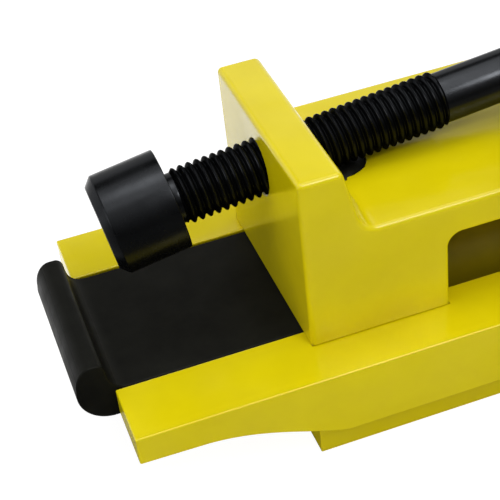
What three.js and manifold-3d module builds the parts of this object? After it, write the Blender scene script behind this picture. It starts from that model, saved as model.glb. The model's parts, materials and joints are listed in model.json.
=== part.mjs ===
// Hydraulic bead breaker with a clamp screw: a standalone three.js example.
// Millimetres, +Z up. While it is built, X runs rearwards from the rail tips, Y runs across the
// tool and Z is 0 on top of the rails. The exported group moves the middle of the underside to 0.
import * as THREE from 'three';
import { mergeVertices } from 'three/addons/utils/BufferGeometryUtils.js';
import Module from 'manifold-3d';

const wasm = await Module();
wasm.setup();

// ---- Driving dimensions ----
const GAP = 0.3; // between pieces that only touch
const SEAT_GAP = 0.05; // between a piece and what it is screwed down on
const CHANNEL_HALF = 38; // half the space between the rails
const RAIL_OUTER = 68.6;
const RAIL_END = 320;
const RAIL_BOTTOM = -31;
const RAIL_TIP_BOTTOM = -13.3;
const BELLY = { start: 28, startZ: -14, end: 86 }; // the rail's underside deepens between these
const BASE_FRONT = 75.5;
const BASE_HALF = 62;
const BASE_BOTTOM = -46;
const CAP_END = 400;
const RAM_Z = -13.5; // height of the ram's centre line
const BARREL_FRONT = 146.3;
const BARREL_RADIUS = 24;
const BARREL_BORE = 18;
const ROD_RADIUS = 11;
const BLOCK_FRONT = 296.3;
const BRIDGE_FRONT = 80;
const BRIDGE_HALF = 48.4;
const BRIDGE_TOP = 79.5;
const ARM_TOP = 50.3;
const WINDOW = { front: 141, rear: 296, top: 35.3, corner: 6 };
const PLATE_TOP = -0.4;
const PLATE_BOTTOM = -14.4;
const PLATE_HALF = 37.2;
const PLATE_END = 138;
const NOSE = { x: -1, radius: 14.4, lip: 13.7 };
const SCREW = { x: 76, z: 57.97, tilt: THREE.MathUtils.degToRad(6.02), thread: 11.94, rod: 10.7 };
const SCREW_CLEARANCE = 12.35;
const NUT_RADIUS = 16.4;
const LIP = { x: 113, half: 12.2, bottom: 40.3 }; // rear lip of the screw's nut
const BALL_AT = -46; // along the screw, from SCREW.x
const PAD_TILT = THREE.MathUtils.degToRad(3.4);
const BOLT_RADIUS = 4;
const BOLT_HOLE = 4.4;
const HEAD_RADIUS = 6.5;
const HEAD_HEIGHT = 8;
const HEAD_SINK = 8.5;
const HEAD_HOLE = 6.9;
const HEAD_GAP = 0.1; // between a screw's head and its seat
const BRIDGE_BOLTS = { xs: [96, 128, 302], y: 43.3 };
const BASE_BOLTS = { xs: [180, 245], y: 52 };
const SIDE_BOLTS = { x: 312, zs: [-8, -23], end: 27 };
const CAP_BOLTS = { y: 17, front: 290, seat: 312, radius: 2.5, hole: 2.8, head: 4.2, headHeight: 5 };
const CAP_COUNTERBORE = 4.9;
const GRUB = { x: 92, radius: 3, front: 16.7, end: 29 };
const SHANK = { bridge: 59, base: 27 }; // lengths of the frame screws under their heads
const PAD = { face: -63.55, back: -33.2, radius: 21 }; // along the screw, before it is tilted
const GUIDE = { y: 34, half: 3.8, start: 78, end: 140 }; // bars that hold the plate up
const HANDLE = { x: 222, foot: 39, wide: 60, bend: 66, top: 132, bar: 6, hole: 6.4, grip: 42 };

// ---- Materials ----
const paint = () => new THREE.MeshStandardMaterial({ color: 0xdcca14, roughness: 0.35, metalness: 0 });
const black = () => new THREE.MeshStandardMaterial({ color: 0x1d1e20, roughness: 0.4, metalness: 0.5 });
const bright = () => new THREE.MeshStandardMaterial({ color: 0xb8bbc0, roughness: 0.2, metalness: 1 });
const bronze = () => new THREE.MeshStandardMaterial({ color: 0xa9773a, roughness: 0.35, metalness: 1 });
const rubber = () => new THREE.MeshStandardMaterial({ color: 0x18181a, roughness: 0.8, metalness: 0 });

// ---- Solids ----
function solid(geometry) {
  const bare = geometry.clone();
  bare.deleteAttribute('normal');
  bare.deleteAttribute('uv');
  const welded = mergeVertices(bare, 1e-4);
  const mesh = new wasm.Mesh({
    numProp: 3,
    vertProperties: new Float32Array(welded.attributes.position.array),
    triVerts: new Uint32Array(welded.index.array),
  });
  return new wasm.Manifold(mesh);
}

function toGeometry(body) {
  const mesh = body.getMesh();
  const indexed = new THREE.BufferGeometry();
  indexed.setAttribute('position', new THREE.BufferAttribute(mesh.vertProperties, 3));
  indexed.setIndex(new THREE.BufferAttribute(mesh.triVerts, 1));
  const flat = indexed.toNonIndexed();
  flat.computeVertexNormals();
  return flat;
}

function block(x0, x1, y0, y1, z0, z1) {
  const geometry = new THREE.BoxGeometry(x1 - x0, y1 - y0, z1 - z0);
  geometry.translate((x0 + x1) / 2, (y0 + y1) / 2, (z0 + z1) / 2);
  return solid(geometry);
}

// A round bar along X, Y or Z, from start to end, with its centre line through the other two places.
function bar(axis, start, end, radius, a, b, sides = 32) {
  const geometry = new THREE.CylinderGeometry(radius, radius, end - start, sides);
  const middle = (start + end) / 2;
  if (axis === 'x') {
    geometry.rotateZ(-Math.PI / 2);
    geometry.translate(middle, a, b);
  } else if (axis === 'y') {
    geometry.translate(a, middle, b);
  } else {
    geometry.rotateX(Math.PI / 2);
    geometry.translate(a, b, middle);
  }
  return solid(geometry);
}

// A body turned about X. Its outline is a list of [x, radius], run so that its outside faces out.
function turned(outline, sides = 24) {
  const points = outline.map(([x, radius]) => new THREE.Vector2(radius, x));
  const geometry = new THREE.LatheGeometry(points, sides);
  geometry.rotateZ(-Math.PI / 2);
  return solid(geometry);
}

function ring(x0, x1, inner, outer, sides = 24) {
  return turned([[x0, inner], [x0, outer], [x1, outer], [x1, inner], [x0, inner]], sides);
}

// A side outline in X and Z, given as a THREE.Shape, made into a solid across Y.
function across(shape, y0, y1, curveSegments = 8) {
  const geometry = new THREE.ExtrudeGeometry(shape, { depth: y1 - y0, bevelEnabled: false, curveSegments });
  geometry.rotateX(Math.PI / 2);
  geometry.translate(0, y1, 0);
  return solid(geometry);
}

function hexBar(x0, x1, flats) {
  const geometry = new THREE.CylinderGeometry(flats / Math.sqrt(3), flats / Math.sqrt(3), x1 - x0, 6);
  geometry.rotateZ(-Math.PI / 2);
  geometry.translate((x0 + x1) / 2, 0, 0);
  return solid(geometry);
}

// Points on an arc of a turned outline, from one angle to another, in degrees about [x, 0].
function arc(x, radius, from, to, steps) {
  const points = [];
  for (let i = 0; i <= steps; i += 1) {
    const angle = THREE.MathUtils.degToRad(from + ((to - from) * i) / steps);
    points.push([x + radius * Math.cos(angle), radius * Math.sin(angle)]);
  }
  return points;
}

function ball(x, radius, sides = 24) {
  const points = arc(x, radius, 180, 0, sides / 2);
  points[0][1] = 0;
  points[points.length - 1][1] = 0;
  return turned(points, sides);
}

// Moves a solid from the screw's own frame, with X along the screw, to the tool's frame.
function alongScrew(body) {
  const matrix = new THREE.Matrix4().makeRotationY(-SCREW.tilt);
  matrix.setPosition(SCREW.x, 0, SCREW.z);
  return body.transform(matrix.elements);
}

function cut(body, tools) {
  return tools.reduce((rest, tool) => rest.subtract(tool), body);
}

const SIDES = [['left', -1], ['right', 1]];

function mirrored(values, fn) {
  return values.flatMap((value) => SIDES.map(([, side]) => fn(value, side)));
}

// A hole along Y on one side of the tool, between two distances from its middle.
function sideHole(side, from, to, radius, x, z, sides) {
  const [start, end] = side < 0 ? [-to, -from] : [from, to];
  return bar('y', start, end, radius, x, z, sides);
}

const tool = new THREE.Group();

function add(parent, name, body, material) {
  const mesh = new THREE.Mesh(toGeometry(body), material);
  mesh.name = name;
  parent.add(mesh);
  return mesh;
}

// ---- Frame: rails, base plate, guide bars, rear block ----
function railShape() {
  const shape = new THREE.Shape();
  shape.moveTo(0, RAIL_TIP_BOTTOM);
  shape.lineTo(BELLY.start, BELLY.startZ);
  shape.bezierCurveTo(52, -15.5, 68, -26, BELLY.end, RAIL_BOTTOM);
  shape.lineTo(RAIL_END, RAIL_BOTTOM);
  shape.lineTo(RAIL_END, 0);
  shape.lineTo(0, 0);
  return shape;
}

function addRails() {
  const past = RAIL_OUTER + 2;
  const headSeat = RAIL_OUTER - HEAD_SINK;
  for (const [word, side] of SIDES) {
    const [start, end] = side < 0 ? [-RAIL_OUTER, -CHANNEL_HALF] : [CHANNEL_HALF, RAIL_OUTER];
    const holes = [
      ...BRIDGE_BOLTS.xs.map((x) => bar('z', -40, 5, BOLT_HOLE, x, side * BRIDGE_BOLTS.y, 16)),
      ...BASE_BOLTS.xs.map((x) => bar('z', -40, -9, BOLT_HOLE, x, side * BASE_BOLTS.y, 16)),
      ...SIDE_BOLTS.zs.map((z) => sideHole(side, 30, past, BOLT_HOLE, SIDE_BOLTS.x, z, 16)),
      ...SIDE_BOLTS.zs.map((z) => sideHole(side, headSeat, past, HEAD_HOLE, SIDE_BOLTS.x, z, 20)),
    ];
    add(tool, `${word}_rail`, cut(across(railShape(), start, end, 20), holes), paint());
  }
}

function addBasePlate() {
  const holes = [bar('x', 141.5, BLOCK_FRONT, BARREL_RADIUS + 2 * GAP, 0, RAM_Z, 24)];
  const seat = BASE_BOTTOM + HEAD_SINK;
  for (const { xs, y } of [BRIDGE_BOLTS, BASE_BOLTS]) {
    holes.push(...mirrored(xs, (x, side) => bar('z', -50, -20, BOLT_HOLE, x, side * y, 16)));
    holes.push(...mirrored(xs, (x, side) => bar('z', -50, seat, HEAD_HOLE, x, side * y, 20)));
  }
  const plate = block(BASE_FRONT, RAIL_END, -BASE_HALF, BASE_HALF, BASE_BOTTOM, RAIL_BOTTOM);
  add(tool, 'base_plate', cut(plate, holes), paint());
}

function addGuideBars() {
  for (const [word, side] of SIDES) {
    const middle = side * GUIDE.y;
    const [low, high] = [middle - GUIDE.half, middle + GUIDE.half];
    const body = block(GUIDE.start, GUIDE.end, low, high, RAIL_BOTTOM + SEAT_GAP, PLATE_BOTTOM - GAP);
    add(tool, `${word}_guide_bar`, body, bright());
  }
}

function addRearBlock() {
  const half = CHANNEL_HALF - GAP;
  const body = block(BLOCK_FRONT, RAIL_END, -half, half, RAIL_BOTTOM + SEAT_GAP, -GAP);
  const past = RAIL_END + 10;
  const holes = [bar('x', 290, past, 11, 0, RAM_Z, 24)];
  for (const [, side] of SIDES) {
    holes.push(bar('x', 290, past, CAP_BOLTS.hole, side * CAP_BOLTS.y, RAM_Z, 12));
    holes.push(bar('x', CAP_BOLTS.seat, past, CAP_COUNTERBORE, side * CAP_BOLTS.y, RAM_Z, 16));
    for (const z of SIDE_BOLTS.zs) {
      holes.push(sideHole(side, SIDE_BOLTS.end - 1, 40, BOLT_HOLE, SIDE_BOLTS.x, z, 16));
    }
  }
  add(tool, 'rear_block', cut(body, holes), paint());
}

// ---- Screws: a socket head at 0, its shank along +Z ----
function socketScrew(length, radius = BOLT_RADIUS, headRadius = HEAD_RADIUS, headHeight = HEAD_HEIGHT) {
  const outline = [
    [-headHeight, 0], [-headHeight, headRadius - 0.6], [0.6 - headHeight, headRadius], [0, headRadius],
    [0, radius], [length - 0.6, radius], [length, radius - 0.6], [length, 0],
  ];
  const socket = hexBar(-headHeight - 1, -headHeight * 0.4, headRadius);
  return turned(outline, 12).subtract(socket).rotate([0, -90, 0]);
}

// Screws that stand in the base plate, a left and a right one at each X, named after their places.
function addUprightScrews(kind, { xs, y }, places, length) {
  xs.forEach((x, i) => {
    for (const [word, side] of SIDES) {
      const screw = add(tool, `${kind}_screw_${word}_${places[i]}`, socketScrew(length), black());
      screw.position.set(x, side * y, BASE_BOTTOM + HEAD_SINK - HEAD_GAP);
    }
  });
}

function addFrameScrews() {
  addUprightScrews('bridge', BRIDGE_BOLTS, ['front', 'middle', 'rear'], SHANK.bridge);
  addUprightScrews('base', BASE_BOLTS, ['front', 'rear'], SHANK.base);
  const headSeat = RAIL_OUTER - HEAD_SINK;
  const { seat, front, radius, head, headHeight, y: capY } = CAP_BOLTS;
  for (const [word, side] of SIDES) {
    SIDE_BOLTS.zs.forEach((z, i) => {
      const length = headSeat - SIDE_BOLTS.end;
      const screw = add(tool, `block_screw_${word}_${i + 1}`, socketScrew(length), black());
      screw.position.set(SIDE_BOLTS.x, side * (headSeat + HEAD_GAP), z);
      screw.rotation.x = side * (Math.PI / 2);
    });
    const body = socketScrew(seat - front, radius, head, headHeight);
    const screw = add(tool, `cap_screw_${word}`, body, black());
    screw.position.set(seat + HEAD_GAP, side * capY, RAM_Z);
    screw.rotation.y = -Math.PI / 2;
  }
}

// ---- Screw bridge: foot, upright, arm and rear leg in one piece ----
function bridgeShape() {
  const rearTopX = 98.5; // the upright's rear face leans back from here
  const rearFootX = 103.4;
  const filletEnd = 112;
  const endRound = 14;
  const shape = new THREE.Shape();
  shape.moveTo(BRIDGE_FRONT, GAP);
  shape.lineTo(RAIL_END, GAP);
  shape.lineTo(RAIL_END, ARM_TOP - endRound);
  shape.absarc(RAIL_END - endRound, ARM_TOP - endRound, endRound, 0, Math.PI / 2);
  shape.lineTo(filletEnd, ARM_TOP);
  shape.quadraticCurveTo(rearFootX + 1.6, ARM_TOP, rearFootX, 57.6);
  shape.lineTo(rearTopX, BRIDGE_TOP);
  shape.lineTo(BRIDGE_FRONT, BRIDGE_TOP);
  return shape;
}

function windowShape() {
  const { front, rear, top, corner } = WINDOW;
  const shape = new THREE.Shape();
  shape.moveTo(front, -5);
  shape.lineTo(rear, -5);
  shape.lineTo(rear, top - corner);
  shape.absarc(rear - corner, top - corner, corner, 0, Math.PI / 2);
  shape.lineTo(front + corner, top);
  shape.absarc(front + corner, top - corner, corner, Math.PI / 2, Math.PI);
  return shape;
}

// The lip under the thread, seen from above, as an upright solid grown outwards by a margin.
function lipPlan(margin, bottom, top) {
  const half = LIP.half + margin;
  const end = bar('z', bottom, top, half, LIP.x, 0, 24);
  return end.add(block(94, LIP.x, -half, half, bottom, top));
}

function addBridge() {
  const boreSides = 24;
  const body = across(bridgeShape(), -BRIDGE_HALF, BRIDGE_HALF, 14);
  const belowLip = block(90, 140, -20, 20, 20, LIP.bottom);
  const tools = [
    across(windowShape(), -60, 60, 12),
    alongScrew(bar('x', -5, 60, SCREW_CLEARANCE, 0, 0, boreSides)),
    alongScrew(bar('x', 8, 40, NUT_RADIUS + GAP, 0, 0, boreSides)).subtract(belowLip),
    lipPlan(GAP, LIP.bottom - GAP, 60),
    bar('y', GRUB.front - 1, 60, GRUB.radius + 0.2, GRUB.x, SCREW.z, 16),
    ...mirrored([HANDLE.x], (x, side) => bar('z', 30, 60, HANDLE.hole, x, side * HANDLE.foot, 24)),
    ...mirrored(BRIDGE_BOLTS.xs, (x, side) => bar('z', -5, 24, BOLT_HOLE, x, side * BRIDGE_BOLTS.y, 16)),
  ];
  add(tool, 'screw_bridge', cut(body, tools), paint());
}

function addScrewNut() {
  const upright = new THREE.Shape();
  upright.moveTo(70, 20);
  upright.lineTo(110, 20);
  upright.lineTo(103.2, 57.6);
  upright.lineTo(98.3, 80);
  upright.lineTo(70, 80);
  const sleeve = alongScrew(bar('x', 8.4, 36, NUT_RADIUS, 0, 0, 24)).intersect(across(upright, -20, 20));
  const lip = lipPlan(0, LIP.bottom, ARM_TOP - 0.2);
  const thread = alongScrew(bar('x', -5, 70, SCREW_CLEARANCE, 0, 0, 24));
  add(tool, 'screw_nut', sleeve.add(lip).subtract(thread), black());
  const grub = bar('y', GRUB.front, GRUB.end, GRUB.radius, GRUB.x, SCREW.z, 16);
  const socket = bar('y', GRUB.end - 3, GRUB.end + 1, 1.6, GRUB.x, SCREW.z, 6);
  add(tool, 'nut_grub_screw', grub.subtract(socket), black());
}

// ---- Ram: barrel, gland, seals, cap and coupling, turned about the ram's centre line ----
const ram = new THREE.Group();
ram.position.z = RAM_Z;
tool.add(ram);

function addCylinder() {
  add(ram, 'cylinder_barrel', ring(BARREL_FRONT, 287.7, BARREL_BORE, BARREL_RADIUS), paint());
  const gland = turned([
    [142, 14.1], [142, 23], [143, BARREL_RADIUS], [146, BARREL_RADIUS], [146, 17.7], [166, 17.7],
    [166, 11.3], [160, 11.3], [160, 14.1], [156, 14.1], [156, 11.3], [146, 11.3], [146, 14.1], [142, 14.1],
  ]);
  add(ram, 'gland_nut', gland, black());
  add(ram, 'rod_wiper', ring(142.4, 145.7, 11.2, 13.8), rubber());
  add(ram, 'rod_seal', ring(156.3, 159.7, 11.2, 13.8), rubber());

  const cap = turned([
    [281.3, 10.5], [281.3, 17.7], [283, 17.7], [283, 15.6], [285.8, 15.6], [285.8, 17.7], [288, 17.7],
    [288, BARREL_RADIUS], [295.2, BARREL_RADIUS], [296, 23.2], [296, 8.3], [289.4, 8.3], [289.4, 4],
    [286.5, 4], [286.5, 10.5], [281.3, 10.5],
  ]);
  const boltHoles = [-1, 1].map((side) => bar('x', 289, 300, CAP_BOLTS.hole, side * CAP_BOLTS.y, 0, 12));
  add(ram, 'cylinder_base_cap', cut(cap, boltHoles), black());
  add(ram, 'base_cap_seal', ring(283.2, 285.6, 15.8, 17.8), rubber());
}

function addCoupling() {
  const nipple = turned([
    [289.6, 3], [289.6, 7.4], [290.2, 8], [345.5, 8], [345.5, 3], [289.6, 3],
  ], 24).add(hexBar(322, 332, 24).subtract(bar('x', 320, 334, 5, 0, 0, 24)));
  add(ram, 'port_nipple', nipple, bright());
  const body = turned([
    [333, 8.3], [333, 14.2], [334, 15], [341, 15], [342, 12.5], [371.4, 12.5], [372, 11.9], [372, 5],
    [346, 5], [346, 8.3], [333, 8.3],
  ]);
  add(ram, 'coupler_body', body, bright());
  const collar = turned([
    [343, 12.8], [343, 16.4], [343.8, 17.2], [361.2, 17.2], [362, 16.4], [362, 12.8], [343, 12.8],
  ]);
  add(ram, 'coupler_collar', collar, bright());
  const cap = turned([
    [364, 12.8], [364, 15.4], [364.8, 16.2], [386, 16.2], [388, 14.4], [388, 9], [390, 8], [396, 8],
    [398, 9.5], [399, 9.5], [CAP_END, 8.5], [CAP_END, 0], [372.5, 0], [372.5, 12.8], [364, 12.8],
  ]);
  add(ram, 'dust_cap', cap, rubber());
}

// ---- Pusher: nose plate, piston rod and piston ----
function plateShape() {
  const { x, radius, lip } = NOSE;
  const shape = new THREE.Shape();
  shape.moveTo(PLATE_END, PLATE_TOP);
  shape.lineTo(6.5, PLATE_TOP);
  shape.quadraticCurveTo(-1.2, PLATE_TOP, -2, 8);
  shape.lineTo(-2.2, 10);
  shape.quadraticCurveTo(-2.8, lip, -6, lip);
  shape.lineTo(-8, lip);
  shape.bezierCurveTo(-11.6, lip, -15, 9.5, x - radius * Math.cos(0.2), radius * Math.sin(0.2));
  shape.absarc(x, 0, radius, Math.PI - 0.2, 1.5 * Math.PI);
  shape.lineTo(PLATE_END, PLATE_BOTTOM);
  return shape;
}

function addPusher() {
  const plate = across(plateShape(), -PLATE_HALF, PLATE_HALF, 14);
  const bossShape = new THREE.Shape();
  bossShape.moveTo(110, PLATE_BOTTOM + 2);
  bossShape.lineTo(112, PLATE_BOTTOM);
  bossShape.lineTo(116, -27);
  bossShape.lineTo(PLATE_END, -27);
  bossShape.lineTo(PLATE_END, PLATE_BOTTOM + 2);
  const rodHole = bar('x', 118, 150, 8.3, 0, RAM_Z, 24);
  const pinHole = bar('y', -27, 27, 3.2, 127, RAM_Z, 16);
  const withBoss = plate.add(across(bossShape, -26, 26));
  add(tool, 'push_plate', cut(withBoss, [rodHole, pinHole]), black());
  const pin = bar('y', -25.5, 25.5, 3, 127, RAM_Z, 16);
  add(tool, 'rod_pin', pin, bright());

  const rod = turned([
    [118.3, 0], [118.3, 7.2], [119.1, 8], [138.4, 8], [138.4, 10.4], [139, ROD_RADIUS], [262, ROD_RADIUS],
    [262, 7], [283.6, 7], [284.4, 6.2], [284.4, 0],
  ]);
  add(ram, 'piston_rod', rod.subtract(bar('y', -20, 20, 3.2, 127, 0, 16)), bright());
  const piston = turned([
    [262.1, 7.2], [262.1, 17.7], [268, 17.7], [268, 15.4], [271.2, 15.4], [271.2, 17.7], [273.5, 17.7],
    [273.5, 16.2], [276.5, 16.2], [276.5, 17.7], [278, 17.7], [278, 7.2], [262.1, 7.2],
  ]);
  add(ram, 'piston', piston, bright());
  add(ram, 'piston_seal', ring(268.3, 270.9, 15.6, 17.8), rubber());
  add(ram, 'piston_wear_ring', ring(273.8, 276.2, 16.4, 17.8), bronze());
  add(ram, 'piston_nut', hexBar(278.2, 283.4, 17).subtract(bar('x', 277, 285, 7.2, 0, 0, 24)), bright());
}

function addReturnSpring() {
  const turns = 6;
  const start = 168.5;
  const pitch = (259.5 - start) / turns;
  const middleRadius = 14.4;
  class Coil extends THREE.Curve {
    getPoint(t, target = new THREE.Vector3()) {
      const angle = t * turns * 2 * Math.PI;
      const [y, z] = [middleRadius * Math.cos(angle), middleRadius * Math.sin(angle)];
      return target.set(start + t * turns * pitch, y, z);
    }
  }
  const section = new THREE.Shape().absarc(0, 0, 1.8, 0, 2 * Math.PI);
  const options = { steps: turns * 10, extrudePath: new Coil(), curveSegments: 3 };
  add(ram, 'return_spring', solid(new THREE.ExtrudeGeometry(section, options)), bright());
}

// ---- Clamp screw, its ball end, and the swivel pad that the ball carries ----
const clamp = new THREE.Group();
clamp.position.set(SCREW.x, 0, SCREW.z);
clamp.rotation.y = -SCREW.tilt;
tool.add(clamp);

function addClampScrew() {
  const threadStart = -31;
  const threadEnd = 83.8;
  const headStart = 187;
  const headEnd = 210;
  const neck = 6.5;
  const neckAngle = THREE.MathUtils.radToDeg(Math.asin(neck / 10));
  const outline = arc(BALL_AT, 10, 180, neckAngle, 8);
  outline[0][1] = 0;
  outline.push(
    [-34.6, neck], [-33.6, 10.6], [threadStart, 10.6], [threadStart + 1.3, SCREW.thread],
    [threadEnd - 1.3, SCREW.thread], [threadEnd, SCREW.rod], [headStart, SCREW.rod], [headStart, 0],
  );
  const chamfered = turned([
    [headStart - 1, 0], [headStart - 1, 14], [headStart + 2, 15.8], [headEnd - 2, 15.8], [headEnd, 14],
    [headEnd, 0],
  ]);
  const head = hexBar(headStart - 0.5, headEnd, 27).intersect(chamfered);
  add(clamp, 'clamp_screw', turned(outline).add(head), black());
}

function addSwivelPad() {
  const cup = ball(0, 12.4).subtract(ball(0, 10.2)).intersect(block(-20, -4, -20, 20, -20, 20));
  const cupMesh = add(clamp, 'thrust_cup', cup, bronze());
  cupMesh.position.x = BALL_AT;

  const pad = new THREE.Group();
  pad.position.x = BALL_AT;
  pad.rotation.y = -PAD_TILT;
  clamp.add(pad);
  const face = PAD.face - BALL_AT;
  const back = PAD.back - BALL_AT;
  const { radius } = PAD;
  const outline = [
    [face, 0], [face, radius - 4.1], [face + 0.5, radius - 3.6], [face + 3.4, radius - 0.1],
    [face + 4, radius], [back - 0.8, radius], [back, radius - 0.8], [back, 13.7], [back - 1.8, 13.7],
    [back - 1.8, 14.6], [back - 3.8, 14.6], [back - 3.8, 13.7], [0, 13.7], [0, 0],
  ];
  add(pad, 'swivel_pad', turned(outline).subtract(ball(0, 12.7)), black());
  const retainer = ring(3.9, back - 3.9, 8.2, 13.4).subtract(ball(0, 10.25));
  add(pad, 'pad_retainer', retainer, bright());
  const gapInRing = block(8, 12, -4, 4, -20, 0);
  add(pad, 'pad_circlip', ring(back - 3.6, back - 2, 12.2, 14.3).subtract(gapInRing), bright());
}

// ---- Carry handle over the screw, behind its middle ----
function roundedPath(points, radius) {
  const path = new THREE.CurvePath();
  let from = points[0];
  for (let i = 1; i < points.length - 1; i += 1) {
    const corner = points[i];
    const enter = corner.clone().sub(points[i - 1]).setLength(radius);
    const leave = points[i + 1].clone().sub(corner).setLength(radius);
    const start = corner.clone().sub(enter);
    const end = corner.clone().add(leave);
    path.add(new THREE.LineCurve3(from, start));
    path.add(new THREE.QuadraticBezierCurve3(start, corner, end));
    from = end;
  }
  path.add(new THREE.LineCurve3(from, points[points.length - 1]));
  return path;
}

function addHandle() {
  const { x, foot, wide, bend, top, bar: barRadius, grip } = HANDLE;
  const half = [[foot, 26.6], [foot, bend], [wide, top]];
  const points = half.map(([y, z]) => new THREE.Vector3(x, -y, z));
  points.push(...half.reverse().map(([y, z]) => new THREE.Vector3(x, y, z)));
  const section = new THREE.Shape().absarc(0, 0, barRadius, 0, 2 * Math.PI);
  const options = { steps: 40, extrudePath: roundedPath(points, 15), curveSegments: 4 };
  add(tool, 'carry_handle', solid(new THREE.ExtrudeGeometry(section, options)), black());
  const sleeve = ring(-grip, grip, barRadius + 0.3, 12.6, 24).rotate([0, 0, 90]).translate([x, 0, top]);
  add(tool, 'handle_grip', sleeve, rubber());
  const nutHeight = 7;
  for (const [word, side] of SIDES) {
    const nut = hexBar(0, nutHeight, 19).subtract(bar('x', -1, nutHeight + 1, HANDLE.hole, 0, 0, 24));
    const mesh = add(tool, `handle_nut_${word}`, nut.rotate([0, -90, 0]), bright());
    mesh.position.set(x, side * foot, WINDOW.top - nutHeight - 0.2);
  }
}

addRails();
addBasePlate();
addGuideBars();
addRearBlock();
addFrameScrews();
addBridge();
addScrewNut();
addCylinder();
addCoupling();
addPusher();
addReturnSpring();
addClampScrew();
addSwivelPad();
addHandle();

tool.position.set(-(CAP_END + NOSE.x - NOSE.radius) / 2, 0, -BASE_BOTTOM);

const object = new THREE.Group();
object.add(tool);
export default object;
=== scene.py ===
"""Looks for the bead breaker: detailed meshes, materials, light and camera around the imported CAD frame.

Lengths are millimetres in the tool's own frame until at() turns them into the row frame's metres:
X runs rearwards from the rail tips, Y across the tool, and Z is 0 on top of the rails.
"""
import json
import math

import bmesh
import bpy
from mathutils import Matrix, Vector


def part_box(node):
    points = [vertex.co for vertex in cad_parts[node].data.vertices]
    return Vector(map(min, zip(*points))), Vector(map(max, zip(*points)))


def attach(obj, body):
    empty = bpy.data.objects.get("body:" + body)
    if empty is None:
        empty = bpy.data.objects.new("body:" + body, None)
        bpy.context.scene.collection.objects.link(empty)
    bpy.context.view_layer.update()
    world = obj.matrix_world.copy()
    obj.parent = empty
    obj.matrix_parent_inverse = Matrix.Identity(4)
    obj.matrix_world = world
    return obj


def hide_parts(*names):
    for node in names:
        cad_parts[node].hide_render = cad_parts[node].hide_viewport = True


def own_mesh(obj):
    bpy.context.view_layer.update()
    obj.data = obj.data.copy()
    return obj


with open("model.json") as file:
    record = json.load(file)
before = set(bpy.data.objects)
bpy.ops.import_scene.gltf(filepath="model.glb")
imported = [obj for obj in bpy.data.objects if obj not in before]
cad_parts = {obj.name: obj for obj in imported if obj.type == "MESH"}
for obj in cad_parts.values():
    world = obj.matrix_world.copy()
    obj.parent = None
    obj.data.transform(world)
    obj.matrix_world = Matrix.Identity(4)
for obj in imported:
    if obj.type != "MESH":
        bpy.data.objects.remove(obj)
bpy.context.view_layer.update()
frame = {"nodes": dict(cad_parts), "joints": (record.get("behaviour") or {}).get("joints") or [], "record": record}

MM = 0.001
RAIL_LOW, RAIL_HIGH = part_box("left_rail")
JOINTS = {joint["name"]: joint for joint in frame["joints"]}


def at(x, y, z):
    """A place in the tool's frame, in millimetres, as a row-frame vector in metres."""
    return Vector((RAIL_LOW.x + x * MM, y * MM, RAIL_HIGH.z + z * MM))


SCREW_ORIGIN = Vector(JOINTS["screw_turn"]["pos_m"])
SCREW_REAR = -Vector(JOINTS["screw_turn"]["axis"]).normalized()
BALL_CENTRE = Vector(JOINTS["pad_tilt"]["pos_m"])
RAM_ORIGIN = Vector((RAIL_LOW.x, 0, JOINTS["collar_spin"]["pos_m"][2]))
REAR = Vector((1, 0, 0))
ACROSS = Vector((0, 1, 0))
UP = Vector((0, 0, 1))

# Clamp screw, in millimetres along it from SCREW_ORIGIN.
THREAD = {"start": -31.0, "end": 83.8, "radius": 11.94, "depth": 1.75, "pitch": 3.5}
ROD_RADIUS = 10.7
NECK_RADIUS = 10.6
CORE_RADIUS = 8.0  # where the neck and the rod end, hidden inside the thread
STEM = {"end": -34.6, "radius": 6.5}
BALL = {"at": -46.0, "radius": 10.0}
HEAD = {"start": 187.0, "end": 210.0, "flats": 27.0}

# One pitch of the thread's profile, from the root to the crest, as (share of the pitch, share of the depth).
THREAD_FLANK = [(0.0, 0.0), (0.06, 0.05), (0.17, 0.40), (0.28, 0.74), (0.39, 0.94)]

# Swivel pad, in millimetres along its own axis from the middle of the ball.
PAD = {"face": -17.55, "back": 12.5, "radius": 21.0, "chamfer": 3.6, "cavity": 13.7, "seat": 12.7}
PAD_TILT = math.radians(3.4)

# Rounding of the frame's edges, in millimetres. Rim is the one round a hole.
EDGE = {"bridge": 2.3, "rail": 0.7, "base": 0.5, "plate": 0.8, "rim": 0.3}

# Where the recess for the screw's nut cuts the bridge, in millimetres in the tool's frame.
NUT_RECESS = {"front": 78.0, "rear": 118.5, "half": 18.0, "low": 35.3}

# Screws of the frame, in millimetres.
SOCKET_SCREW = {"radius": 4.0, "head": 6.5, "height": 8.0, "socket": 3.0}
CAP_SCREW = {"radius": 2.5, "head": 4.2, "height": 5.0, "socket": 2.0}

# Ram and coupling, in millimetres: radii, widths across flats, and the heights of a knurl or a rib.
RAM = {"outer": 24, "bore": 18, "plug": 17.7, "rod_gap": 11.3, "port": 8.3}
NIPPLE = {"bore": 3, "outer": 8, "flats": 24, "crown": 13.6, "rim": 12.2}
COLLAR = {"inner": 12.8, "outer": 17, "knurl": 0.25, "teeth": 44}
DUST_CAP = {"inner": 12.8, "outer": 16, "ribs": 24, "rib": 0.35}

# Return spring round the rod, in millimetres in the tool's frame. Seat is its fixed end.
SPRING = {"start": 168.5, "end": 259.5, "turns": 6, "radius": 14.4, "wire": 1.8, "seat": 166.7}

# Carry handle, in millimetres in the tool's frame.
HANDLE = {"x": 222, "foot": 39, "wide": 60, "low": 26.6, "bend": 66, "top": 132, "radius": 6, "turn": 15}
GRIP = {"half": 42, "inner": 6.3, "outer": 12.6, "ribs": 12}
NUT = {"flats": 19, "height": 7, "hole": 6.4}

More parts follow.
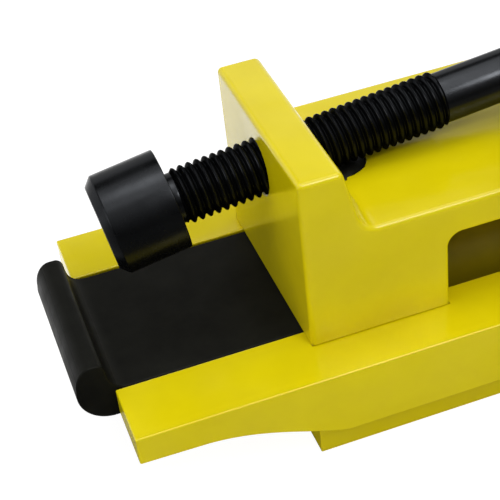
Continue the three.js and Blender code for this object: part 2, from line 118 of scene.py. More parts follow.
# Studio. In reflections, a bright wall stands behind the tool and ends at WALL_TOP, a sine of the elevation.
WALL_TOP = 0.575
WALL_BLUR = 0.05
SKY = (0.40, 0.40, 0.40)
WHITE = (1, 1, 1)
FLOOR_HALF = 6.0
FLOOR_GREY = (0.8, 0.8, 0.8)

# Lamps: name, place, what they point at, and size, all in row-frame metres, and watts.
LAMPS = [
    ("diffuser", (0.0, 0.05, 1.35), (0, 0, 0.05), (1.4, 1.4), 8.0),
    ("overhead_box", (-0.22, 0.04, 1.15), (-0.12, 0, 0.1), (0.34, 0.34), 1.2),
    ("right_box", (0.35, -0.91, 1.25), (0, 0, 0.1), (0.42, 0.42), 5.6),
    ("left_fill", (-1.2, -0.25, 0.45), (-0.1, 0, 0.08), (0.6, 0.5), 2.0),
]

# Camera: its place, the way it looks, and its own right.
CAMERA = {
    "place": at(-43.78, -441.37, 375.82),
    "forward": Vector((0.19979, 0.76131, -0.61684)),
    "right": Vector((0.93990, -0.32681, -0.09893)),
    "lens": 99.45,
}


# ---- Materials ----
class Graph:
    """A short way to write a shader's nodes."""

    def __init__(self, owner):
        owner.use_nodes = True
        self.owner = owner
        self.tree = owner.node_tree
        self.shader = self.tree.nodes.get("Principled BSDF")

    def node(self, kind, **settings):
        """A new node. Each setting is one of its inputs or, failing that, one of its properties."""
        made = self.tree.nodes.new(kind)
        for key, value in settings.items():
            if key in made.inputs:
                made.inputs[key].default_value = value
            else:
                setattr(made, key, value)
        return made

    def link(self, source, target):
        self.tree.links.new(source, target)

    def set(self, **values):
        """Sets the shader's own sockets, their names written with underscores."""
        for key, value in values.items():
            self.shader.inputs[key.replace("_", " ")].default_value = value

    def place(self, scale=(1, 1, 1)):
        """Object coordinates, which are the row frame's metres, stretched by scale."""
        coords = self.node("ShaderNodeTexCoord")
        mapping = self.node("ShaderNodeMapping")
        mapping.inputs["Scale"].default_value = scale
        self.link(coords.outputs["Object"], mapping.inputs["Vector"])
        return mapping.outputs["Vector"]

    def noise(self, vector, size, detail=2.0, roughness=0.5):
        """Noise whose blobs are about size metres across."""
        made = self.node("ShaderNodeTexNoise", Scale=1 / size, Detail=detail, Roughness=roughness)
        self.link(vector, made.inputs["Vector"])
        return made.outputs["Fac"]

    def spread(self, value, low, high, start=0.3, end=0.7):
        """Maps a value from start..end to low..high."""
        made = self.node("ShaderNodeMapRange")
        for key, number in zip(("From Min", "From Max", "To Min", "To Max"), (start, end, low, high)):
            made.inputs[key].default_value = number
        self.link(value, made.inputs["Value"])
        return made.outputs["Result"]

    def maths(self, operation, first, second):
        """ADD, MULTIPLY and so on, with two numbers or values, held to 0..1."""
        made = self.node("ShaderNodeMath", operation=operation, use_clamp=True)
        for socket, value in zip(made.inputs, (first, second)):
            if isinstance(value, (int, float)):
                socket.default_value = value
            else:
                self.link(value, socket)
        return made.outputs["Value"]

    def blend(self, value, first, second):
        """A colour between two, each of them three numbers or another node's colour."""
        made = self.node("ShaderNodeMix", data_type="RGBA")
        self.link(value, made.inputs[0])
        colours = [socket for socket in made.inputs if socket.type == "RGBA"]
        for socket, colour in zip(colours, (first, second)):
            if isinstance(colour, tuple):
                socket.default_value = (*colour, 1)
            else:
                self.link(colour, socket)
        return next(socket for socket in made.outputs if socket.type == "RGBA")

    def bump(self, height, distance, strength=1.0, normal=None):
        """A normal bent by a height, where distance is metres for a whole unit of height."""
        made = self.node("ShaderNodeBump", Strength=strength, Distance=distance)
        self.link(height, made.inputs["Height"])
        if normal is not None:
            self.link(normal, made.inputs["Normal"])
        return made.outputs["Normal"]


def new_material(name):
    return Graph(bpy.data.materials.new(name))


def yellow_enamel(name, low, high, smooth, rough, gloss=0.5):
    """Enamel over hand-ground steel: uneven in colour and gloss, with an orange peel and shallow waves."""
    graph = new_material(name)
    place = graph.place()
    cloud = graph.spread(graph.noise(place, 0.03, detail=3), 0.0, 1.0)
    graph.link(graph.blend(cloud, low, high), graph.shader.inputs["Base Color"])
    graph.link(graph.spread(graph.noise(place, 0.02), smooth, rough), graph.shader.inputs["Roughness"])
    peel = graph.bump(graph.noise(place, 0.0016, detail=0), 0.000006)
    waves = graph.bump(graph.noise(place, 0.013, detail=1), 0.00012, normal=peel)
    graph.link(waves, graph.shader.inputs["Normal"])
    graph.set(IOR=1.5, Specular_IOR_Level=gloss)
    return graph.owner


def yellow_paint():
    return yellow_enamel("yellow_paint", (0.735, 0.603, 0.0016), (0.800, 0.665, 0.0026), 0.15, 0.24)


def painted_shade_yellow():
    """The barrel's paint under the arm: dull, and its colour painted far darker than the yellow paint as painted
    shade for the shadow under the arm.
    """
    return yellow_enamel("painted_shade_yellow", (0.200, 0.155, 0.0014), (0.290, 0.230, 0.0020), 0.42, 0.55, 0.15)


def black_steel(name, low, high, smooth, rough, metallic=0.9, rim=0.6, tint=(0.95, 1.0, 1.08)):
    """Blackened steel, cloudy between two shades and between two roughnesses, with a darkened rim."""
    graph = new_material(name)
    place = graph.place()
    cloud = graph.spread(graph.noise(place, 0.014, detail=4, roughness=0.6), 0.0, 1.0)
    colours = [tuple(shade * channel for channel in tint) for shade in (low, high)]
    graph.link(graph.blend(cloud, *colours), graph.shader.inputs["Base Color"])
    haze = graph.spread(graph.noise(place, 0.008, detail=3), smooth, rough)
    graph.link(haze, graph.shader.inputs["Roughness"])
    graph.link(graph.bump(graph.noise(place, 0.0005), 0.000006), graph.shader.inputs["Normal"])
    graph.set(Metallic=metallic, Specular_IOR_Level=0.1, Specular_Tint=(rim, rim, rim, 1))
    return graph.owner


def black_oxide():
    """Half bright, on the pad, the fasteners and the small steel pieces."""
    return black_steel("black_oxide", 0.022, 0.029, 0.22, 0.30)


def oiled_rod():
    """The screw's plain rod, smoother than the rest."""
    return black_steel("oiled_rod", 0.035, 0.045, 0.21, 0.26)


def oiled_thread():
    """The screw's thread, dark with grease."""
    return black_steel("oiled_thread", 0.015, 0.025, 0.16, 0.26, rim=0.15)


def dull_black():
    """The same blackening on rougher steel: the push plate and the screw's nut."""
    warm = (1.02, 1.03, 0.86)
    return black_steel("dull_black_oxide", 0.0095, 0.0150, 0.36, 0.50, metallic=0.4, rim=0.35, tint=warm)


def ground_steel():
    """Ground and lightly oiled steel, with grinding lines square to the tool's length."""
    graph = new_material("bright_steel")
    place = graph.place()
    lines = graph.noise(graph.place((1, 0.06, 0.06)), 0.0004, detail=3)
    cloud = graph.noise(place, 0.012, detail=3)
    colour = graph.blend(lines, (0.46, 0.47, 0.49), (0.64, 0.65, 0.67))
    worn = graph.maths("ADD", graph.spread(lines, 0.16, 0.30), graph.spread(cloud, 0.0, 0.10))
    graph.link(colour, graph.shader.inputs["Base Color"])
    graph.link(worn, graph.shader.inputs["Roughness"])
    graph.link(graph.bump(lines, 0.000006), graph.shader.inputs["Normal"])
    graph.set(Metallic=1.0)
    return graph.owner


def bearing_bronze():
    graph = new_material("bronze")
    place = graph.place()
    stain = graph.noise(place, 0.004, detail=3)
    colour = graph.blend(stain, (0.42, 0.24, 0.09), (0.56, 0.35, 0.15))
    graph.link(colour, graph.shader.inputs["Base Color"])
    graph.link(graph.spread(stain, 0.28, 0.42), graph.shader.inputs["Roughness"])
    graph.link(graph.bump(graph.noise(place, 0.0004), 0.00001), graph.shader.inputs["Normal"])
    graph.set(Metallic=1.0)
    return graph.owner


def moulded_rubber():
    graph = new_material("rubber")
    grain = graph.noise(graph.place(), 0.0009, detail=3)
    colour = graph.blend(grain, (0.010, 0.010, 0.010), (0.022, 0.022, 0.021))
    graph.link(colour, graph.shader.inputs["Base Color"])
    graph.link(graph.spread(grain, 0.58, 0.78), graph.shader.inputs["Roughness"])
    graph.link(graph.bump(grain, 0.00006, strength=0.6), graph.shader.inputs["Normal"])
    return graph.owner


MATERIALS = {
    "yellow_paint": yellow_paint(),
    # Painted shade: the barrel's darker yellow stands in for the shadow under the arm.
    "painted_shade_yellow": painted_shade_yellow(),
    "black_oxide": black_oxide(),
    "oiled_rod": oiled_rod(),
    "oiled_thread": oiled_thread(),
    "dull_black": dull_black(),
    "bright_steel": ground_steel(),
    "bronze": bearing_bronze(),
    "rubber": moulded_rubber(),
}


# ---- Mesh tools ----
def smooth_all(mesh):
    mesh.polygons.foreach_set("use_smooth", [True] * len(mesh.polygons))


def place_piece(name, mesh, slot, body, replaced, finish=None):
    """Puts a mesh in the scene. Its finish is the slot's own material unless another is named."""
    piece = bpy.data.objects.new(name, mesh)
    bpy.context.scene.collection.objects.link(piece)
    mesh.materials.clear()
    mesh.materials.append(MATERIALS[finish or slot])
    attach(piece, body)
    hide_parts(*replaced)
    return piece


def make(name, shape, slot, body, replaced, sharp=35, finish=None):
    """A new piece from points in row-frame metres and faces, riding on a body in place of CAD nodes."""
    points, faces = shape
    mesh = bpy.data.meshes.new(name)
    mesh.from_pydata([tuple(p) for p in points], [], faces)
    mesh.validate()
    smooth_all(mesh)
    mesh.set_sharp_from_angle(angle=math.radians(sharp))
    return place_piece(name, mesh, slot, body, replaced, finish)


def basis(direction):
    """Two directions square to an axis, the first as near to up as it can be."""
    side = direction.cross(UP) if abs(direction.z) < 0.9 else direction.cross(REAR)
    side.normalize()
    return side.cross(direction).normalized(), side


def rounded(outline, radius, steps=3):
    """Rounds each corner of an open or closed outline by about radius, in millimetres."""
    closed = outline[0] == outline[-1]
    points = [Vector(p) for p in (outline[:-1] if closed else outline)]
    count = len(points)
    made = []
    for i, corner in enumerate(points):
        if not closed and i in (0, count - 1):
            made.append(tuple(corner))
            continue
        before, after = points[i - 1], points[(i + 1) % count]
        reach = min(radius, 0.45 * (corner - before).length, 0.45 * (after - corner).length)
        start = corner + (before - corner).normalized() * reach
        end = corner + (after - corner).normalized() * reach
        for k in range(steps + 1):
            t = k / steps
            made.append(tuple(start.lerp(corner, t).lerp(corner.lerp(end, t), t)))
    return made + [made[0]] if closed else made


def spun(outline, origin, direction, sides=96, wobble=None):
    """An outline of (x, r) spun about an axis. It ends on the axis or closes on itself.

    A wobble gives the millimetres to add to r at a place x, a radius r and an angle.
    """
    up, side = basis(direction)
    closed = outline[0] == outline[-1]
    rows, points, faces = [], [], []
    for x, r in outline[:-1] if closed else outline:
        if r < 1e-6:
            rows.append([len(points)] * sides)
            points.append(origin + direction * (x * MM))
            continue
        rows.append(list(range(len(points), len(points) + sides)))
        for k in range(sides):
            angle = 2 * math.pi * k / sides
            reach = r + (wobble(x, r, angle) if wobble else 0)
            out = up * math.cos(angle) + side * math.sin(angle)
            points.append(origin + direction * (x * MM) + out * (reach * MM))
    pairs = list(zip(rows, rows[1:])) + ([(rows[-1], rows[0])] if closed else [])
    for first, second in pairs:
        for k in range(sides):
            j = (k + 1) % sides
            ring = [first[k], first[j], second[j], second[k]]
            face = [v for i, v in enumerate(ring) if v not in ring[:i]]
            if len(face) > 2:
                faces.append(face)
    return points, faces


def tube(path, sides_of_path, radius, sides=24, chamfer=0.5):
    """A round bar along a path in millimetres, with one sideways direction for each point."""
    points, faces = [], []
    count = len(path)
    for i, place in enumerate(path):
        ahead = path[min(i + 1, count - 1)] - path[max(i - 1, 0)]
        across = sides_of_path[i].normalized()
        over = ahead.normalized().cross(across).normalized()
        reach = radius - chamfer if i in (0, count - 1) else radius
        for k in range(sides):
            angle = 2 * math.pi * k / sides
            points.append(at(*(place + (across * math.cos(angle) + over * math.sin(angle)) * reach)))
    for i in range(count - 1):
        for k in range(sides):
            j = (k + 1) % sides
            faces.append([i * sides + k, i * sides + j, (i + 1) * sides + j, (i + 1) * sides + k])
    faces.append(list(range(sides))[::-1])
    faces.append([(count - 1) * sides + k for k in range(sides)])
    return points, faces


def join(*parts):
    """Joins shapes, each of them points and faces, into one."""
    points, faces = [], []
    for more_points, more_faces in parts:
        start = len(points)
        points += more_points
        faces += [[start + v for v in face] for face in more_faces]
    return points, faces


def hexagon(flats):
    """The radius of a hexagon at an angle, from its width across flats."""
    def radius(angle):
        sector = (angle + math.pi / 6) % (math.pi / 3) - math.pi / 6
        return flats / 2 / math.cos(sector)
    return radius


# ---- CAD nodes that keep their shape ----
WELD = 0.02 * MM  # vertices nearer than this are one


def dress(node, finish):
    """Gives a CAD node its finish and, the first time, smooth shading on its round faces."""
    piece = frame["nodes"][node]
    piece.data.materials.clear()
    piece.data.materials.append(MATERIALS[finish])
    if piece.modifiers:
        return
    smooth_all(piece.data)
    weld = piece.modifiers.new("weld", "WELD")
    weld.merge_threshold = WELD
    shading = piece.modifiers.new("shading", "WEIGHTED_NORMAL")
    shading.weight = 60
    shading.keep_sharp = True


def dress_all():
    """Each CAD node gets the finish of its slot, but the screw's nut is duller than the rest."""
    for row in frame["record"]["subparts"]:
        dress(row["node"], row["material_slot"])
    dress("screw_nut", "dull_black")


# ---- Frame and push plate: CAD shapes with their edges rounded ----
BRIDGE_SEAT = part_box("screw_bridge")[0].z
SIDE_SCREWS = [sum(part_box(f"block_screw_left_{number}"), Vector()) / 2 for number in (1, 2)]
NUT_RECESS_LOW = at(NUT_RECESS["front"], -NUT_RECESS["half"], NUT_RECESS["low"])
NUT_RECESS_HIGH = at(NUT_RECESS["rear"], NUT_RECESS["half"], 0)


def is_sharp(edge):
    return len(edge.link_faces) == 2 and edge.is_convex and edge.calc_face_angle(0) > math.radians(30)


def on_outline(edge):
    """Whether an edge belongs to the outline that runs across the tool, or to a hole that does."""
    return all(abs(face.normal.y) < 0.02 or abs(face.normal.y) > 0.999 for face in edge.link_faces)


def middle(edge):
    return (edge.verts[0].co + edge.verts[1].co) / 2


def at_side_screw(edge):
    """Whether an edge belongs to a hole for a side screw."""
    place = middle(edge)
    return any(math.hypot(place.x - hole.x, place.z - hole.z) < 8 * MM for hole in SIDE_SCREWS)


def at_nut_recess(edge):
    """The nut's recess meets the fillet at such thin angles that its rim is left as it is."""
    low, high = NUT_RECESS_LOW, NUT_RECESS_HIGH
    place = middle(edge)
    return low.x < place.x < high.x and low.y < place.y < high.y and place.z > low.z


def at_seat(edge):
    """Whether an edge lies where the bridge sits on the rails. Those edges stay sharp."""
    return abs(middle(edge).z - BRIDGE_SEAT) < 0.2 * MM


def round_edges(bm, edges, radius, segments):
    bmesh.ops.bevel(bm, geom=edges, offset=radius * MM, segments=segments, profile=0.5, affect="EDGES")


def softened(node, name, slot, body, radius, rim=None, finish=None):
    """A CAD node's shape with a radius on its outline and, if rim is given, a smaller one on its holes."""
    mesh = frame["nodes"][node].data.copy()
    bm = bmesh.new()
    bm.from_mesh(mesh)
    bmesh.ops.remove_doubles(bm, verts=bm.verts, dist=WELD)
    bmesh.ops.dissolve_limit(bm, angle_limit=math.radians(0.3), verts=bm.verts, edges=bm.edges)
    bm.normal_update()

    def in_outline(edge):
        seated = node == "screw_bridge" and at_seat(edge)
        return is_sharp(edge) and on_outline(edge) and not seated and not at_side_screw(edge)

    def in_rim(edge):
        return is_sharp(edge) and not in_outline(edge) and not at_nut_recess(edge)

    if rim:
        round_edges(bm, [edge for edge in bm.edges if in_rim(edge)], rim, 2)
        bm.normal_update()
    round_edges(bm, [edge for edge in bm.edges if in_outline(edge)], radius, 5)
    bm.to_mesh(mesh)
    bm.free()
    smooth_all(mesh)
    piece = place_piece(name, mesh, slot, body, [node], finish)
    shading = piece.modifiers.new("shading", "WEIGHTED_NORMAL")
    shading.weight = 80
    shading.keep_sharp = False


def frame_pieces():
    rim = EDGE["rim"]
    for word in ("left", "right"):
        softened(f"{word}_rail", f"{word}_rail_painted", "yellow_paint", "frame", EDGE["rail"])
        softened(f"{word}_guide_bar", f"{word}_guide_bar_ground", "bright_steel", "frame", rim, rim)
    softened("base_plate", "base_plate_painted", "yellow_paint", "frame", EDGE["base"])
    softened("rear_block", "rear_block_painted", "yellow_paint", "frame", EDGE["rail"], rim)
    softened("screw_bridge", "screw_bridge_painted", "yellow_paint", "frame", EDGE["bridge"], rim)
    softened("push_plate", "push_plate_black", "black_oxide", "pusher", EDGE["plate"], rim, "dull_black")


# ---- Socket screws ----
def socket_screw(node, direction, size):
    """One socket-head screw in place of a CAD node. Direction runs from its head to its point."""
    low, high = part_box(node)
    centre = (low + high) / 2
    length = abs((high - low).dot(direction)) / MM
    head, height, radius, socket = size["head"], size["height"], size["radius"], size["socket"]
    depth = 0.6 * height
    hole = [(depth, 0.0), (depth, socket), (0.3, socket), (0.0, socket + 0.4)]
    crown = [(0.0, head - 0.7), (0.25, head - 0.2), (0.8, head), (height - 0.4, head), (height, head - 0.4)]
    neck = [(height, radius + 0.5), (height + 0.5, radius)]
    point = [(length - 0.7, radius), (length, radius - 0.7), (length, 0.0)]
    outline = hole + crown + neck + point
    wrench = hexagon(2 * socket)

    def in_socket(x, r, angle):
        return wrench(angle) - socket if abs(r - socket) < 1e-6 else 0.0

    shape = spun(outline, centre - direction * (length / 2 * MM), direction, 48, in_socket)
    make(f"{node}_turned", shape, "black_oxide", "frame", [node], sharp=30)


def socket_screws():
    for word, inwards in (("left", ACROSS), ("right", -ACROSS)):
        for place in ("front", "middle", "rear"):
            socket_screw(f"bridge_screw_{word}_{place}", UP, SOCKET_SCREW)
        for place in ("front", "rear"):
            socket_screw(f"base_screw_{word}_{place}", UP, SOCKET_SCREW)
        for number in (1, 2):
            socket_screw(f"block_screw_{word}_{number}", inwards, SOCKET_SCREW)
        socket_screw(f"cap_screw_{word}", -REAR, CAP_SCREW)


# ---- Clamp screw ----
def thread_surface():
    """The thread as a sheared grid, so that crest and root run along the mesh's own edges.

    At its ends it runs out at 45 degrees, down to the neck in front and to the rod behind.
    """
    start, end, pitch = THREAD["start"], THREAD["end"], THREAD["pitch"]
    root = THREAD["radius"] - THREAD["depth"]
    falling = [(1 - share, height) for share, height in reversed(THREAD_FLANK[1:])]
    profile = THREAD_FLANK + [(0.5, 1.0)] + falling
    sides = 72
    turns = math.ceil((end - start) / pitch) + 1
    up, side = basis(SCREW_REAR)
    points, faces = [], []
    rows = [(turn - 1 + share, height) for turn in range(turns + 1) for share, height in profile]
    for step, height in rows:
        for k in range(sides):
            angle = 2 * math.pi * k / sides
            x = start + (step + k / sides) * pitch
            r = root + THREAD["depth"] * height
            x = min(max(x, start), end)
            r = min(r, NECK_RADIUS + (x - start), ROD_RADIUS + 0.2 + (end - x))
            out = up * math.cos(angle) + side * math.sin(angle)
            points.append(SCREW_ORIGIN + SCREW_REAR * (x * MM) + out * (r * MM))
    count = len(rows)
    lead = len(profile)
    for i in range(count - 1):
        for k in range(sides):
            j = (k + 1) % sides
            shift = lead if j == 0 else 0
            if i + shift + 1 >= count:
                continue
            face = [i * sides + k, (i + shift) * sides + j, (i + shift + 1) * sides + j, (i + 1) * sides + k]
            faces.append(face)
    return points, faces


def hex_head():
    """The hexagon at the rear end, whose corners are cut by a cone at both ends."""
    start, end, flats = HEAD["start"], HEAD["end"], HEAD["flats"]
    corner = flats / math.sqrt(3)
    wrench = hexagon(flats)
    sides = 96

    def radius(x, angle):
        cone = flats * 0.49 + 1.7 * min(x - start, end - x)
        return min(wrench(angle), cone, corner - 0.15)

    up, side = basis(SCREW_REAR)
    steps = [0.0, 0.4, 0.9, 1.4, 2.2]
    stops = [start + step for step in steps] + [end - step for step in reversed(steps)]
    points, faces = [SCREW_ORIGIN + SCREW_REAR * (start * MM)], []
    for x in stops:
        for k in range(sides):
            angle = 2 * math.pi * k / sides
            out = up * math.cos(angle) + side * math.sin(angle)
            points.append(SCREW_ORIGIN + SCREW_REAR * (x * MM) + out * (radius(x, angle) * MM))
    points.append(SCREW_ORIGIN + SCREW_REAR * (end * MM))
    last = 1 + (len(stops) - 1) * sides
    for k in range(sides):
        j = (k + 1) % sides
        faces.append([0, 1 + j, 1 + k])
        faces.append([len(points) - 1, last + k, last + j])
        for i in range(len(stops) - 1):
            a = 1 + i * sides
            faces.append([a + k, a + j, a + sides + j, a + sides + k])
    return points, faces


def ball_and_neck():
    """The screw's front end: its ball, the stem behind the ball, and the neck up to the thread."""
    centre, radius, stem = BALL["at"], BALL["radius"], STEM["radius"]
    steps = 24
    last = math.asin(stem / radius)
    ball = []
    for k in range(steps + 1):
        angle = math.pi - (math.pi - last) * k / steps
        ball.append((centre + radius * math.cos(angle), radius * math.sin(angle) if k else 0.0))
    end = THREAD["start"]
    shaft = [(ball[-1][0], stem), (STEM["end"], stem), (STEM["end"] + 1, NECK_RADIUS), (end, NECK_RADIUS)]
    shaft += [(end + 0.5, CORE_RADIUS), (end + 0.5, 0.0)]
    return spun(ball + rounded(shaft, 0.3)[1:], SCREW_ORIGIN, SCREW_REAR)


def plain_rod():
    """The plain rod from the thread's end to the hexagon."""
    start, end = THREAD["end"], HEAD["start"] + 0.2
    outline = [(start - 0.6, 0.0), (start - 0.6, CORE_RADIUS), (start, ROD_RADIUS)]
    outline += [(end, ROD_RADIUS), (end, 0.0)]
    return spun(rounded(outline, 0.3), SCREW_ORIGIN, SCREW_REAR)


def clamp_screw():
    """The whole screw as one piece, with finishes of their own on the thread and the rod."""
    parts = [ball_and_neck(), thread_surface(), plain_rod(), hex_head()]
    piece = make("clamp_screw_threaded", join(*parts), "black_oxide", "screw", ["clamp_screw"], sharp=28)
    start = len(parts[0][1])
    for index, finish in ((1, "oiled_thread"), (2, "oiled_rod")):
        piece.data.materials.append(MATERIALS[finish])
        end = start + len(parts[index][1])
        for polygon in piece.data.polygons[start:end]:
            polygon.material_index = index
        start = end


# ---- Swivel pad ----
def swivel_pad():
    """A round cup with a chamfered face, whose bottom is a seat for the ball."""
    direction = (Matrix.Rotation(-PAD_TILT, 3, "Y") @ SCREW_REAR).normalized()
    face, back, radius, chamfer = PAD["face"], PAD["back"], PAD["radius"], PAD["chamfer"]
    cavity, seat_radius = PAD["cavity"], PAD["seat"]
    outline = [(face, 0.0), (face, radius - chamfer), (face + 0.95 * chamfer, radius), (back, radius)]
    outline += [(back, cavity), (0.0, cavity)]
    steps = 12
    seat = []
    for k in range(steps):
        angle = math.pi / 2 * (1 + k / steps)
        seat.append((seat_radius * math.cos(angle), seat_radius * math.sin(angle)))
    seat.append((-seat_radius, 0.0))
    shape = spun(rounded(outline, 0.45, steps=4) + seat, BALL_CENTRE, direction, sides=128)
    make("swivel_pad_turned", shape, "black_oxide", "pad", ["swivel_pad"])


# ---- Ram and coupling, each outline as (X in the tool's frame, radius) ----
def turned_piece(node, slot, body, outline, radius=0.4, sides=96, wobble=None, finish=None):
    shape = spun(rounded(outline, radius), RAM_ORIGIN, REAR, sides, wobble)
    make(f"{node}_turned", shape, slot, body, [node], finish=finish)


def sleeve(start, end, inner, outer):
    """The closed outline of a plain tube."""
    return [(start, inner), (start, outer), (end, outer), (end, inner), (start, inner)]


def ribs(start, end, above, count, height):
    """A wobble for straight ribs round a turned piece, between two places along it."""
    def wobble(x, r, angle):
        return height * math.cos(count * angle) if start < x < end and r > above else 0.0
    return wobble


def rings(start, end, radius, count=6):
    """Evenly spaced points along a stretch, where an outline needs more than its two ends."""
    return [(start + (end - start) * k / count, radius) for k in range(count + 1)]


def spanner_slots(x, r, angle):
    """A wobble for four slots in the gland's rim, for a hook spanner."""
    half_width, depth, slots_end = 0.09, 2.2, 146.1
    quarter = math.pi / 2
    off_slot = abs(angle % quarter - quarter / 2)
    return -depth if off_slot < half_width and x < slots_end and r > RAM["outer"] - 2 else 0.0


def ram_pieces():
    outer, bore, plug, port = RAM["outer"], RAM["bore"], RAM["plug"], RAM["port"]
    barrel = sleeve(146.3, 287.7, bore, outer)
    # The barrel's finish is painted shade: a darker copy of the yellow paint for the shadow under the arm.
    turned_piece("cylinder_barrel", "yellow_paint", "frame", barrel, 0.8, finish="painted_shade_yellow")
    wiper_seat, rod_gap = 14.1, RAM["rod_gap"]
    gland = [(142, wiper_seat), (142, outer), (146, outer), (146, plug), (166, plug), (166, rod_gap)]
    gland += [(146, rod_gap), (146, wiper_seat), (142, wiper_seat)]
    turned_piece("gland_nut", "black_oxide", "frame", gland, 0.5, 144, spanner_slots)
    turned_piece("rod_wiper", "rubber", "frame", sleeve(142.4, 145.7, 11.2, 13.8), 0.5)
    passage, pocket = 4, 10.5
    cap = [(281.3, pocket), (281.3, plug), (288, plug), (288, outer), (296, outer), (296, port)]
    cap += [(289.4, port), (289.4, passage), (286.5, passage), (286.5, pocket), (281.3, pocket)]
    turned_piece("cylinder_base_cap", "black_oxide", "frame", cap, 0.5)


def port_nipple():
    """A pipe with a hexagon nut round it, both in one piece."""
    start, end, bore, outer = 289.6, 345.5, NIPPLE["bore"], NIPPLE["outer"]
    pipe = spun(rounded(sleeve(start, end, bore, outer), 0.5), RAM_ORIGIN, REAR, 64)
    front, rear, inner, rim = 322, 332, outer - 0.1, NIPPLE["rim"]
    nut = [(front, inner), (front, rim)] + rings(front + 0.9, rear - 0.9, NIPPLE["crown"], 3)
    nut += [(rear, rim), (rear, inner), (front, inner)]
    wrench = hexagon(NIPPLE["flats"])

    def flats(x, r, angle):
        return min(wrench(angle), r) - r if r > outer + 1 else 0.0

    shape = join(pipe, spun(nut, RAM_ORIGIN, REAR, 96, flats))
    make("port_nipple_turned", shape, "bright_steel", "frame", ["port_nipple"], sharp=25)


def coupling():
    port_nipple()
    thread, bore, barrel, flange = RAM["port"], 5, 12.5, 15
    body = [(333, thread), (333, flange), (341, flange), (342, barrel), (372, barrel), (372, bore)]
    body += [(346, bore), (346, thread), (333, thread)]
    turned_piece("coupler_body", "bright_steel", "frame", body, 0.5)

    inner, outer = COLLAR["inner"], COLLAR["outer"]
    collar = [(343, inner), (343, outer), (345.6, outer)] + rings(346, 359, outer - 0.1)
    collar += [(359.4, outer), (362, outer), (362, inner), (343, inner)]
    knurl = ribs(345.8, 359.2, outer - 0.5, COLLAR["teeth"], COLLAR["knurl"])
    turned_piece("coupler_collar", "bright_steel", "collar", collar, 0.3, 264, knurl)

    inner, outer = DUST_CAP["inner"], DUST_CAP["outer"]
    inside = [(372.5, 0), (372.5, inner), (364, inner)]
    outside = rings(367, 384, outer - 0.2) + [(387, outer - 0.2)]
    tip = [(388, 9), (390, 8), (396, 8), (398, 9.5), (400, 9.2), (400, 0)]
    ribbed = ribs(366.5, 384.5, outer - 1, DUST_CAP["ribs"], DUST_CAP["rib"])
    turned_piece("dust_cap", "rubber", "cap", inside + [(364, outer)] + outside + tip, 0.8, 192, ribbed)


def return_spring():
    """The coil round the rod."""
    turns, radius, start, end = SPRING["turns"], SPRING["radius"], SPRING["start"], SPRING["end"]
    height = (RAM_ORIGIN.z - RAIL_HIGH.z) / MM
    steps = turns * 40
    path, outwards = [], []
    for i in range(steps + 1):
        angle = 2 * math.pi * turns * i / steps
        out = Vector((0, math.cos(angle), math.sin(angle)))
        path.append(Vector((start + (end - start) * i / steps, 0, height)) + out * radius)
        outwards.append(out)
    shape = tube(path, outwards, SPRING["wire"], 14)
    coil = make("return_spring_coil", shape, "bright_steel", "frame", ["return_spring"])
    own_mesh(coil)


# ---- Carry handle ----
def handle_bar():
    x, foot, wide = HANDLE["x"], HANDLE["foot"], HANDLE["wide"]
    corners = [(x, -foot, HANDLE["low"]), (x, -foot, HANDLE["bend"]), (x, -wide, HANDLE["top"])]
    corners += [(px, -py, pz) for px, py, pz in reversed(corners)]
    path = [Vector(p) for p in rounded(corners, HANDLE["turn"], steps=12)]
    chamfer = 0.7
    path.insert(1, path[0] + UP * chamfer)
    path.insert(-1, path[-1] + UP * chamfer)
    bar = tube(path, [REAR] * len(path), HANDLE["radius"], 32, chamfer)
    make("carry_handle_bent", bar, "black_oxide", "frame", ["carry_handle"])


def handle_grip():
    """A rubber sleeve with rounded ribs."""
    half, inner, outer, count = GRIP["half"], GRIP["inner"], GRIP["outer"], GRIP["ribs"]
    pitch = 2 * (half - 5) / count
    outline = [(-half, inner), (-half, outer), (-half + 4, outer)]
    for i in range(count):
        start = -half + 5 + i * pitch
        outline += [(start, outer - 1.0), (start + 0.35 * pitch, outer - 1.0)]
        outline += [(start + 0.5 * pitch, outer - 0.1), (start + 0.85 * pitch, outer - 0.1)]
    outline += [(half - 4, outer), (half, outer), (half, inner), (-half, inner)]
    shape = spun(rounded(outline, 0.8), at(HANDLE["x"], 0, HANDLE["top"]), ACROSS, 64)
    make("handle_grip_moulded", shape, "rubber", "frame", ["handle_grip"], sharp=60)


def handle_nut(word):
    low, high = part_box(f"handle_nut_{word}")
    bottom = Vector(((low.x + high.x) / 2, (low.y + high.y) / 2, low.z))
    height, hole, corner = NUT["height"], NUT["hole"], NUT["flats"] / math.sqrt(3)
    wrench = hexagon(NUT["flats"])
    outside = [(0, corner - 1.6), (0.9, corner), (height - 0.9, corner), (height, corner - 1.6)]
    inside = [(height, hole + 0.4), (height - 0.4, hole), (0.4, hole), (0, hole + 0.4)]
    outline = inside[-1:] + outside + inside

    def flats(x, r, angle):
        return min(wrench(angle), r) - r if r > hole + 1 else 0.0

    shape = spun(outline, bottom, UP, 96, flats)
    make(f"handle_nut_{word}_cut", shape, "bright_steel", "frame", [f"handle_nut_{word}"], sharp=25)


def handle():
    handle_bar()
    handle_grip()
    handle_nut("left")
    handle_nut("right")


# ---- Light, floor and camera ----
def area_light(name, place, aim, size, power):
    data = bpy.data.lights.new(name, "AREA")
    data.shape = "RECTANGLE"
    data.size, data.size_y = size
    data.energy = power
    lamp = bpy.data.objects.new(name, data)
    lamp.location = place
    lamp.rotation_euler = (Vector(aim) - Vector(place)).to_track_quat("-Z", "Y").to_euler()
    bpy.context.scene.collection.objects.link(lamp)


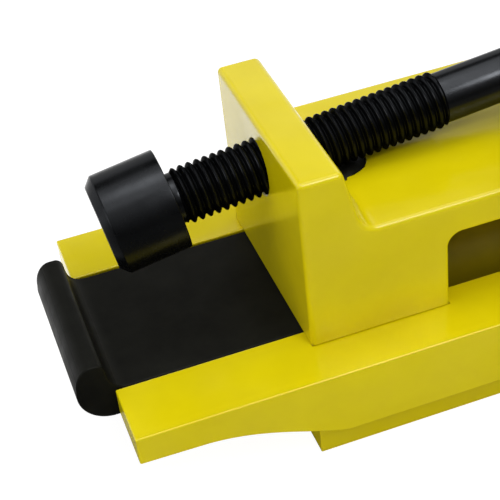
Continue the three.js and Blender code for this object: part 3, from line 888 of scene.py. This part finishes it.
def light_tent():
    """White to the camera, an even sky for soft light, and a low bright wall behind for the gloss."""
    world = bpy.data.worlds.new("tent")
    bpy.context.scene.world = world
    graph = Graph(world)
    background = graph.tree.nodes["Background"]
    axes = graph.node("ShaderNodeSeparateXYZ")
    graph.link(graph.node("ShaderNodeTexCoord").outputs["Generated"], axes.inputs["Vector"])
    low = graph.spread(axes.outputs["Z"], 1.0, 0.0, WALL_TOP - WALL_BLUR, WALL_TOP + WALL_BLUR)
    behind = graph.spread(axes.outputs["Y"], 0.0, 1.0, -0.5, 0.5)
    in_front = graph.spread(axes.outputs["Y"], 1.0, 0.0, -0.5, 0.5)
    high = graph.maths("MULTIPLY", axes.outputs["Z"], axes.outputs["Z"])
    wall = graph.maths("ADD", graph.maths("MULTIPLY", low, behind), graph.maths("MULTIPLY", high, in_front))
    path = graph.node("ShaderNodeLightPath")
    gloss = graph.node("ShaderNodeCombineColor")
    for channel in ("Red", "Green", "Blue"):
        graph.link(wall, gloss.inputs[channel])
    seen = graph.blend(path.outputs["Is Glossy Ray"], SKY, gloss.outputs["Color"])
    graph.link(graph.blend(path.outputs["Is Camera Ray"], seen, WHITE), background.inputs["Color"])


def floor_material():
    """A pale sheet. In reflections it is dark in front of the tool and bright behind it.

    To the camera it is mostly its own light, so that it stays near white round a soft shadow.
    """
    graph = new_material("floor")
    path = graph.node("ShaderNodeLightPath")
    glossy, direct = path.outputs["Is Glossy Ray"], path.outputs["Is Camera Ray"]
    axes = graph.node("ShaderNodeSeparateXYZ")
    graph.link(graph.place(), axes.inputs["Vector"])
    behind = graph.spread(axes.outputs["Y"], 0.0, 1.0, -0.05, 0.12)
    in_gloss = graph.blend(behind, (0.10, 0.10, 0.10), (0.95, 0.95, 0.95))
    colour = graph.blend(glossy, FLOOR_GREY, in_gloss)
    colour = graph.blend(direct, colour, (0.22, 0.22, 0.22))
    graph.link(colour, graph.shader.inputs["Base Color"])
    glow = graph.maths("MULTIPLY", graph.maths("MULTIPLY", behind, glossy), 0.5)
    glow = graph.maths("ADD", graph.maths("MULTIPLY", direct, 0.94), glow)
    graph.link(glow, graph.shader.inputs["Emission Strength"])
    graph.set(Roughness=1.0, Specular_IOR_Level=0.0, Emission_Color=(*WHITE, 1))
    return graph.owner


def floor():
    mesh = bpy.data.meshes.new("floor")
    corners = [(x * FLOOR_HALF, y * FLOOR_HALF, 0) for x, y in ((-1, -1), (1, -1), (1, 1), (-1, 1))]
    mesh.from_pydata(corners, [], [[0, 1, 2, 3]])
    mesh.materials.append(floor_material())
    sheet = bpy.data.objects.new("floor", mesh)
    bpy.context.scene.collection.objects.link(sheet)


def studio():
    light_tent()
    floor()
    for lamp in LAMPS:
        area_light(*lamp)
    bpy.context.scene.view_settings.view_transform = "Standard"


def camera():
    data = bpy.data.cameras.new("camera")
    data.sensor_width = 36
    data.lens = CAMERA["lens"]
    forward = CAMERA["forward"].normalized()
    up = CAMERA["right"].normalized().cross(forward).normalized()
    right = forward.cross(up).normalized()
    turn = Matrix((right, up, -forward)).transposed()
    shot = bpy.data.objects.new("camera", data)
    shot.matrix_world = Matrix.Translation(CAMERA["place"]) @ turn.to_4x4()
    bpy.context.scene.collection.objects.link(shot)
    bpy.context.scene.camera = shot


dress_all()
frame_pieces()
socket_screws()
ram_pieces()
coupling()
return_spring()
clamp_screw()
swivel_pad()
handle()
studio()
camera()
